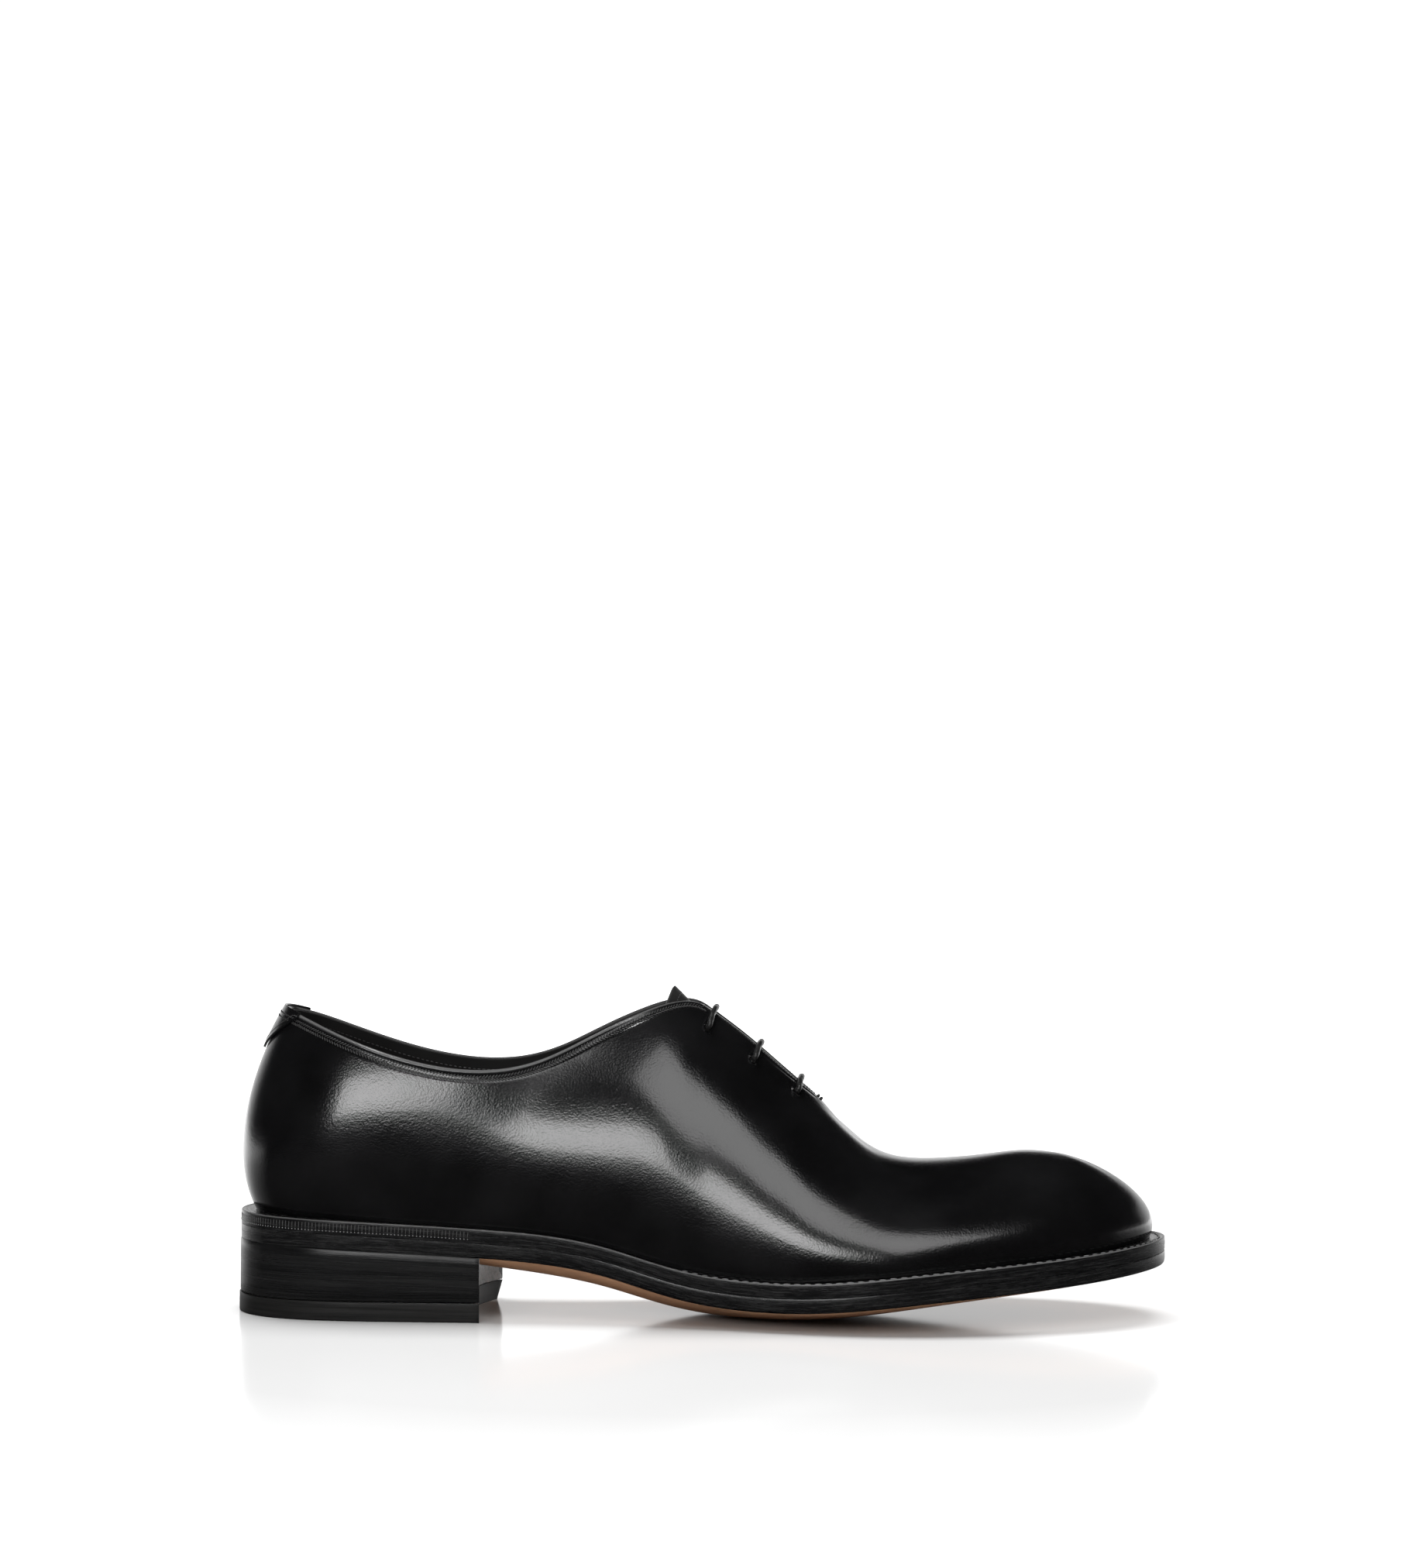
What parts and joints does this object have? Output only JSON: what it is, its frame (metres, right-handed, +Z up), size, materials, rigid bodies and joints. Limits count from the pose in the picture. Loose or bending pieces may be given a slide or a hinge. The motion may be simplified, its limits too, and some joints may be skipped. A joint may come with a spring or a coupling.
{
  "type": "whole cut oxford shoe",
  "caption": "Right dress shoe cut from a single piece of black leather, closed lacing over a tongue, welted leather sole with toe spring and a built heel.",
  "frame": {"origin": "on the floor under the middle of the heel's top piece", "axes": "+X towards the toe, +Z up, -Y the outer side of the foot"},
  "size_m": [0.3049, 0.107, 0.1077],
  "materials": {
    "calf": "polished black calf",
    "lining": "matt black lining leather",
    "sock": "smooth black sock leather",
    "edge": "inked and waxed leather edge",
    "sole": "natural brown sole leather with an inked edge",
    "heel": "inked and brushed leather lifts",
    "top_piece": "matt black",
    "cord": "waxed round cord"
  },
  "bodies": {
    "root": {"upper": "calf", "heel_tab": "calf", "tongue": "lining", "insole": "sock", "welt": "edge", "outsole": "sole", "heel_stack": "heel", "heel_top_piece": "top_piece", "lace_bar_top": "cord", "lace_bar_middle": "cord", "lace_bar_bottom": "cord"}
  },
  "joints": []
}
